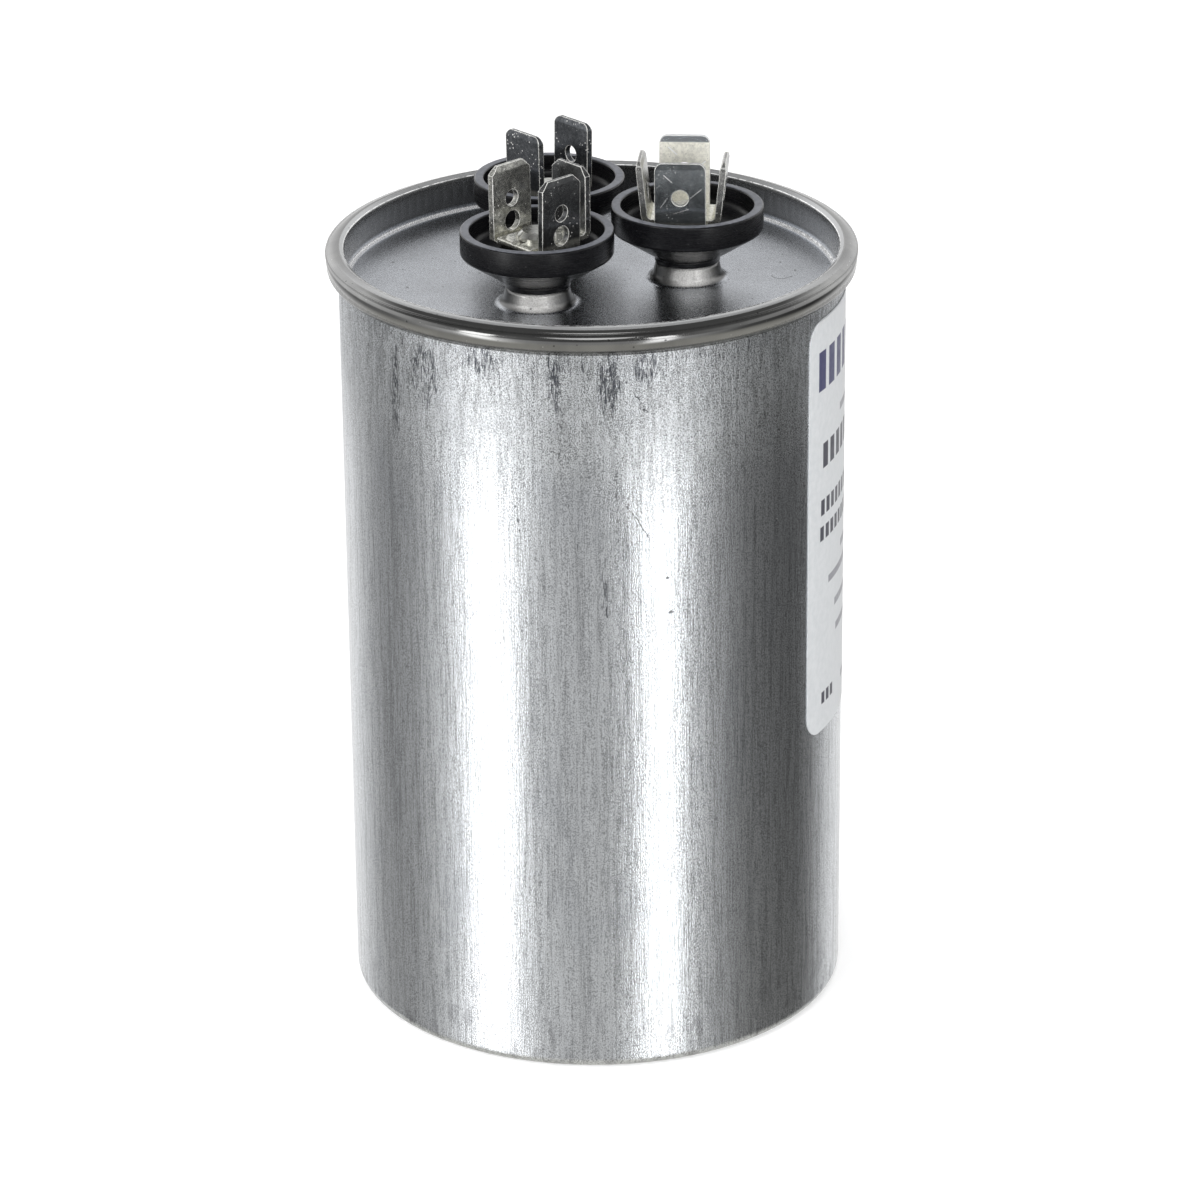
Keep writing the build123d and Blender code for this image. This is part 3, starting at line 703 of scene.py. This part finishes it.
def tinned(tin):
    """Tinned brass: glossy, pitted and scratched, with painted highlights on its edges and painted glints
    in clusters.
    """
    material, s = new_material(tin.name)
    edge_normal, edge = s.rounded(TIN_EDGE)
    x, y, height = s.xyz(s.place())
    grain = s.noise(TIN_GRAIN)
    clusters = s.noise(TIN_CLUSTERS)
    pits = s.spots(*TIN_PITS)
    painted_glints = s.times(s.spots(*TIN_GLINTS), s.between(clusters, *TIN_CLUSTERS.span), tin.painted_glints)
    grained = s.between(grain, *TIN_GRAIN.span)
    foot_lit_tone = s.blend(s.between(grain, *TIN_FOOT_SPAN), TIN_FOOT_LIT_DARK, TIN_FOOT_LIT_PALE)

    tone = s.blend(grained, tin.dark, tin.pale)
    # painted light: the rear blade's own, paler tones
    if tin.lit_rear:
        split, rear_dark, rear_pale = tin.lit_rear
        past_split = s.between(y, split - REAR_FADE, split + REAR_FADE)
        tone = s.blend(past_split, tone, s.blend(grained, rear_dark, rear_pale))
    tone = s.paint(
        tone,
        (s.between(clusters, *TIN_CLOUD_SPAN), shaded(tin.dark, TIN_CLOUD_SHADE)),
        # painted light on the level strips in the well
        (s.falling(height, *TIN_FOOT), foot_lit_tone),
    )
    metallic = TIN_METALLIC
    rough = s.between(grain, *TIN_ROUGHNESS_SPAN, tin.roughness - TIN_SMOOTHER, tin.roughness + TIN_ROUGHER)
    # painted light on the far side and painted shade on its bevel
    if tin.lit_far_side:
        far = s.between(y, *FAR_FROM)
        bevel = s.between(height, *FAR_BEVEL_FROM)
        face = s.times(far, s.math("SUBTRACT", 1.0, bevel))
        far_dark = shaded(tin.lit_far_side, FAR_SHADE)
        face_tone = s.blend(s.between(grain, *FAR_GRAIN_SPAN), far_dark, tin.lit_far_side)
        tone = s.paint(tone, (s.times(far, bevel), FAR_BEVEL_SHADED_TONE), (face, face_tone))
        metallic = s.mix(face, metallic, FAR_METALLIC)
        rough = s.mix(face, rough, FAR_ROUGHNESS)

    upright = s.point(X=x, Y=height)
    edge = s.times(edge, s.between(grain, *TIN_EDGE_SPAN))
    tone = s.paint(
        tone,
        (s.times(pits, TIN_PIT_COVER), shaded(tin.dark, TIN_PIT_SHADE)),
        (s.read(TIN_RUBS), TIN_RUB_TONE),
        *((s.line(upright, start, end, BLADE_SCRATCH_WIDTH), WHITE) for start, end in tin.scratches),
        # painted glints in clusters and painted highlights on the edges
        (painted_glints, TIN_HIGHLIGHT_TONE),
        (edge, TIN_HIGHLIGHT_TONE),
    )
    metallic = s.mix(s.most(edge, painted_glints), metallic, TIN_HIGHLIGHT_METALLIC)
    relief = s.add(grain, s.times(pits, TIN_PIT_RELIEF))
    normal = s.bump(relief, TIN_RELIEF_STRENGTH, TIN_RELIEF_DEPTH, edge_normal)
    s.surface(tone, rough, metallic, normal)
    return material


# Plain bars on the label: left, bottom, right and top in millimetres round the can and up, tone, and the
# length of one dash with its gap, or 0 for a whole bar
INK_NAVY = (0.045, 0.048, 0.13)
INK_DARK = (0.045, 0.045, 0.065)
INK_GREY = (0.26, 0.26, 0.29)
LABEL_BARS = [
    (33.9, 85.1, 88.0, 90.3, INK_NAVY, 3.1),
    (42.0, 80.0, 76.0, 81.0, INK_GREY, 0),
    (35.3, 74.6, 64.0, 77.9, INK_DARK, 2.4),
    (34.8, 68.3, 66.0, 70.4, INK_DARK, 1.7),
    (34.6, 64.9, 70.0, 66.8, INK_DARK, 1.7),
    (43.2, 61.1, 72.0, 62.1, INK_GREY, 0),
    (37.4, 58.4, 76.0, 59.4, INK_GREY, 0),
    (40.0, 54.3, 74.0, 55.3, INK_GREY, 0),
    (40.6, 50.7, 68.0, 51.7, INK_GREY, 0),
    (35.4, 42.4, 39.5, 44.0, INK_DARK, 1.5),
    (44.5, 42.4, 60.0, 43.4, INK_GREY, 0),
]
DASH_SHARE = 0.66
LABEL_DARK, LABEL_PALE = (0.61, 0.63, 0.645), (0.67, 0.685, 0.70)
LABEL_GRAIN = Pattern((1.2, 1.2, 1.2), (0.3, 0.7), 4, 0.6)
LABEL_ROUGHNESS = (0.3, 0.7, 0.30, 0.40)
LABEL_RELIEF_STRENGTH = 0.12
LABEL_RELIEF_DEPTH = 0.02
LABEL_TOP_EDGE = (94.2, 94.45)
LABEL_EDGE_TONE = (0.20, 0.21, 0.23)
LABEL_EDGE_COVER = 0.6
# Past this place round the can, the distance from the front has started again from below
LABEL_PAST_BACK = (-60.0, -59.9)


def label_film():
    """White satin label film with plain bars on it."""
    material, s = new_material("label_film")
    x, height, _ = s.xyz(s.around_can())
    round_can = CAN_RADIUS * radians(360)
    across = s.add(x, s.times(s.falling(x, *LABEL_PAST_BACK), round_can))
    where = s.point(X=across, Y=height)
    grain = s.noise(LABEL_GRAIN)
    tone = s.blend(s.between(grain, *LABEL_GRAIN.span), LABEL_DARK, LABEL_PALE)
    for left, bottom, right, top, ink, period in LABEL_BARS:
        bar = s.bar(where, left, bottom, right, top)
        if period:
            bar = s.times(bar, s.dashes(s.math("SUBTRACT", across, left), period, DASH_SHARE))
        tone = s.blend(bar, tone, ink)
    tone = s.blend(s.times(s.between(height, *LABEL_TOP_EDGE), LABEL_EDGE_COVER), tone, LABEL_EDGE_TONE)
    normal = s.bump(grain, LABEL_RELIEF_STRENGTH, LABEL_RELIEF_DEPTH)
    s.surface(tone, s.between(grain, *LABEL_ROUGHNESS), 0.0, normal)
    return material


# Plain pieces: grain, and how far it sends the roughness up and down
PLAIN_GRAIN = Pattern((1.5, 1.5, 1.5), (0.3, 0.7), 5, 0.65)
PLAIN_ROUGHNESS_SPREAD = 0.06
PLAIN_RELIEF_STRENGTH = 0.2
PLAIN_RELIEF_DEPTH = 0.04


def plain_piece(name, dark, pale, roughness, metallic):
    """Moulded, wound or sprayed piece with a mottled tone."""
    material, s = new_material(name)
    grain = s.noise(PLAIN_GRAIN)
    tone = s.blend(s.between(grain, *PLAIN_GRAIN.span), dark, pale)
    spread = (roughness - PLAIN_ROUGHNESS_SPREAD, roughness + PLAIN_ROUGHNESS_SPREAD)
    rough = s.between(grain, *PLAIN_GRAIN.span, *spread)
    s.surface(tone, rough, metallic, s.bump(grain, PLAIN_RELIEF_STRENGTH, PLAIN_RELIEF_DEPTH))
    return material


# Tinned finishes and the nodes that have them. They are lit and shaded copies of one tinned brass, each
# piece's tones painted to the light or shade it shows
TINNED_PIECES = [
    (
        Tin("common_front_and_rear", (0.20, 0.22, 0.235), (0.34, 0.36, 0.375), 0.14, 0.3,
            lit_far_side=(1.0, 0.98, 0.88), scratches=BLADE_SCRATCHES),
        ("common_lower_blades",),
    ),
    (Tin("common_sides", (0.30, 0.30, 0.30), (0.60, 0.60, 0.58), 0.18), ("common_upper_blades",)),
    (
        Tin("compressor_pair", (0.08, 0.083, 0.087), (0.24, 0.245, 0.25), 0.14, 0.7,
            lit_rear=(-10.4, (0.26, 0.26, 0.25), (0.95, 0.95, 0.88))),
        ("compressor_lower_blades",),
    ),
    (
        Tin("compressor_single", (0.08, 0.083, 0.087), (0.26, 0.265, 0.27), 0.14, 0.9),
        ("compressor_upper_blade",),
    ),
    (Tin("fan_pair", (0.09, 0.10, 0.11), (0.30, 0.31, 0.33), 0.15, 1.0), ("fan_blades",)),
    (
        Tin("tinned_tabs", (0.50, 0.50, 0.49), (0.74, 0.74, 0.72)),
        ("common_tab", "compressor_tab", "fan_tab"),
    ),
]

# Plain finishes, with dark tone, pale tone, roughness and metallic, and the nodes that have them
PLAIN_PIECES = [
    (("plated_rivet", (0.50, 0.50, 0.48), (0.80, 0.80, 0.76), 0.3, 1.0),
     ("common_rivet", "compressor_rivet", "fan_rivet")),
    (("natural_nylon", (0.70, 0.68, 0.60), (0.80, 0.78, 0.70), 0.45, 0.0),
     ("common_bushing", "compressor_bushing", "fan_bushing", "core_tube", "base_insulator")),
    (("brown_phenolic", (0.10, 0.05, 0.025), (0.20, 0.10, 0.05), 0.4, 0.0), ("interrupter_plate",)),
    (("metallised_film", (0.45, 0.46, 0.48), (0.62, 0.63, 0.65), 0.35, 0.6),
     ("compressor_winding", "fan_winding")),
    (("insulating_film", (0.60, 0.62, 0.60), (0.72, 0.74, 0.72), 0.3, 0.0),
     ("section_barrier", "winding_sleeve")),
    (("sprayed_zinc", (0.28, 0.29, 0.30), (0.48, 0.49, 0.51), 0.6, 1.0),
     ("common_spray", "compressor_spray", "fan_spray")),
    (("lead_wire", (0.55, 0.32, 0.18), (0.72, 0.48, 0.30), 0.3, 1.0),
     ("common_lead", "compressor_lead", "fan_lead")),
    (("sealing_compound", (0.10, 0.09, 0.08), (0.18, 0.17, 0.15), 0.7, 0.0), ("seam_compound",)),
]

finish_with(can_metal(), "can")
finish_with(cover_metal(), "cover")
finish_with(black_moulding(), "common_cup", "compressor_cup", "fan_cup")
finish_with(label_film(), "label")
for tin, names in TINNED_PIECES:
    finish_with(tinned(tin), *names)
for finish, names in PLAIN_PIECES:
    finish_with(plain_piece(*finish), *names)


def add_camera():
    """Camera at the photograph's place."""
    data = bpy.data.cameras.new("camera")
    data.lens = CAMERA_LENS_MM
    data.sensor_width = SENSOR_MM
    data.clip_start = CAMERA_CLIP_START
    camera = bpy.data.objects.new("camera", data)
    bpy.context.scene.collection.objects.link(camera)
    camera.matrix_world = (
        Matrix.Translation(CAMERA_PLACE)
        @ Matrix.Rotation(radians(CAMERA_TURN), 4, "Z")
        @ Matrix.Rotation(radians(90 - CAMERA_PITCH), 4, "X")
        @ Matrix.Rotation(radians(CAMERA_ROLL), 4, "Z")
    )
    bpy.context.scene.camera = camera


# Brightness of the studio's walls round the object: degrees from the camera, positive to its right, and
# level. The upright metal mirrors the low walls, and the level metal mirrors the high ones
LOW_WALLS = [
    (-180, 1.00), (-150, 0.88), (-132, 0.50), (-118, 0.27), (-95, 0.26), (-84, 0.42), (-68, 0.74),
    (-59, 1.15), (-54, 2.90), (-47, 2.90), (-40, 1.30), (-32, 0.62), (-20, 0.50), (0, 0.45),
    (17, 0.48), (22, 0.56), (26.5, 3.10), (33.5, 3.10), (38, 0.60), (56, 0.37), (70, 0.13),
    (110, 0.06), (124, 0.22), (140, 0.74), (165, 0.92), (180, 1.00),
]
HIGH_WALLS = [
    (-180, 0.80), (-165, 0.95), (-150, 1.40), (-125, 1.30), (-105, 0.85), (-80, 0.55), (-50, 0.35),
    (-30, 0.20), (0, 0.12), (30, 0.16), (60, 0.32), (90, 0.50), (110, 0.80), (130, 1.20), (150, 1.20),
    (165, 0.90), (180, 0.80),
]
# A ramp holds levels up to 1, so they are kept as shares of this one
LEVEL_LIMIT = 3.5
# The strips' upper ends, which the seam and the collars mirror: left, bottom, right and top in degrees
STRIPS = [(-57, 4, -43, 30), (25, 4, 36, 30)]
STRIP_LEVEL = 3.4
# Fades by how far the direction points up: low walls to high ones, those to the ceiling, and to the floor
WALLS_MEET = (-0.12, 0.12)
OVERHEAD_FROM = (0.45, 0.75)
OVERHEAD = 0.14
UNDERFOOT_TO = (-0.85, -0.38)
UNDERFOOT = (0.58, 0.57, 0.53)
# Softbox over the camera, with its edge and core in degrees from its middle
SOFTBOX_RISE = 50.0
SOFTBOX_EDGE = 18
SOFTBOX_CORE = 11
SOFTBOX_LEVEL = 1.5


def ring_of_walls(s, turn, levels):
    """Level of the wall at a turn, where 0 to 1 is one round that starts behind the object."""
    ramp = s.node("ShaderNodeValToRGB", {"Fac": turn})
    stops = ramp.color_ramp.elements
    while len(stops) < len(levels):
        stops.new(0.5)
    for stop, (degrees_off, level) in zip(stops, levels):
        stop.position = degrees_off / 360 + 0.5
        stop.color = (*grey(level), 1)
    return ramp.outputs[0]


def grey(level):
    """Neutral colour of a level, as a share of the limit."""
    return [level / LEVEL_LIMIT] * 3


def add_world():
    """Studio of soft walls with two bright strips and a softbox over the camera, white to the camera."""
    world = bpy.data.worlds.new("studio")
    bpy.context.scene.world = world
    s = Shader(world)
    direction = s.turned_to_front(s.node("ShaderNodeTexCoord").outputs["Generated"])
    x, y, z = s.xyz(direction)
    turn = s.math("MULTIPLY_ADD", s.math("ARCTAN2", y, x), 1 / radians(360), 0.5)
    sky = s.point(X=s.times(s.add(turn, -0.5), 360.0), Y=s.times(s.math("ARCSINE", z), 1 / radians(1)))
    rise = radians(SOFTBOX_RISE)
    off_softbox = s.vector("DOT_PRODUCT", direction, (cos(rise), 0, sin(rise)))
    softbox = s.between(off_softbox, cos(radians(SOFTBOX_EDGE)), cos(radians(SOFTBOX_CORE)))
    colour = s.paint(
        ring_of_walls(s, turn, LOW_WALLS),
        (s.between(z, *WALLS_MEET), ring_of_walls(s, turn, HIGH_WALLS)),
        (s.between(z, *OVERHEAD_FROM), grey(OVERHEAD)),
        (s.falling(z, *UNDERFOOT_TO), [part / LEVEL_LIMIT for part in UNDERFOOT]),
        *((s.bar(sky, *strip), grey(STRIP_LEVEL)) for strip in STRIPS),
        (softbox, grey(SOFTBOX_LEVEL)),
        (s.node("ShaderNodeLightPath").outputs["Is Camera Ray"], grey(1)),
    )
    background = s.node("ShaderNodeBackground", {"Color": colour, "Strength": LEVEL_LIMIT})
    s.node("ShaderNodeOutputWorld", {"Surface": background.outputs[0]})


# Lamps: name, place, size, power and what it is aimed at
BODY_MIDDLE = (0, 0, 0.05)
PANEL_MIDDLE = (0, 0, 0.095)
LAMPS = [
    ("key_lamp", (-0.5, -0.7, 0.9), 0.6, 5.0, BODY_MIDDLE),
    ("side_lamp", (0.9, -0.2, 0.6), 0.6, 0.8, BODY_MIDDLE),
    ("top_lamp", (0, 0.1, 1.2), 0.8, 6.0, BODY_MIDDLE),
    ("front_lamp", (0.06, -0.9, 0.25), 0.3, 5.0, PANEL_MIDDLE),
]


def add_lamp(name, place, size, power, target):
    """Soft square lamp that lights matt surfaces and leaves the metal's reflections to the walls."""
    data = bpy.data.lights.new(name, "AREA")
    data.size = size
    data.energy = power
    lamp = bpy.data.objects.new(name, data)
    bpy.context.scene.collection.objects.link(lamp)
    lamp.location = place
    aim = Vector(target) - lamp.location
    lamp.rotation_euler = aim.to_track_quat("-Z", "Y").to_euler()
    lamp.visible_glossy = False


# Floor: half its width in metres, its tone, and how much it glows where it's seen
FLOOR_HALF = 6.0
FLOOR_TONE = (0.85, 0.85, 0.85, 1)
FLOOR_GLOW = 0.35


def add_floor():
    """Pale floor, white to the camera except where the object's shadow falls."""
    mesh = bpy.data.meshes.new("floor")
    corners = [(x * FLOOR_HALF, y * FLOOR_HALF, 0) for x, y in ((-1, -1), (1, -1), (1, 1), (-1, 1))]
    mesh.from_pydata(corners, [], [(0, 1, 2, 3)])
    floor = bpy.data.objects.new("floor", mesh)
    bpy.context.scene.collection.objects.link(floor)
    material, s = new_material("floor_paper")
    paper = s.node("ShaderNodeBsdfDiffuse", {"Color": FLOOR_TONE})
    glow = s.node("ShaderNodeEmission", {"Color": (*WHITE, 1), "Strength": FLOOR_GLOW})
    path = s.node("ShaderNodeLightPath").outputs
    seen = s.most(path["Is Camera Ray"], path["Is Glossy Ray"], path["Is Transmission Ray"])
    glow_seen = s.node("ShaderNodeMixShader", {0: seen, 2: glow.outputs[0]})
    total = s.node("ShaderNodeAddShader", {0: paper.outputs[0], 1: glow_seen.outputs[0]})
    s.node("ShaderNodeOutputMaterial", {"Surface": total.outputs[0]})
    mesh.materials.append(material)
    floor.visible_glossy = False


add_camera()
add_world()
for lamp in LAMPS:
    add_lamp(*lamp)
add_floor()
bpy.context.scene.view_settings.view_transform = "Standard"
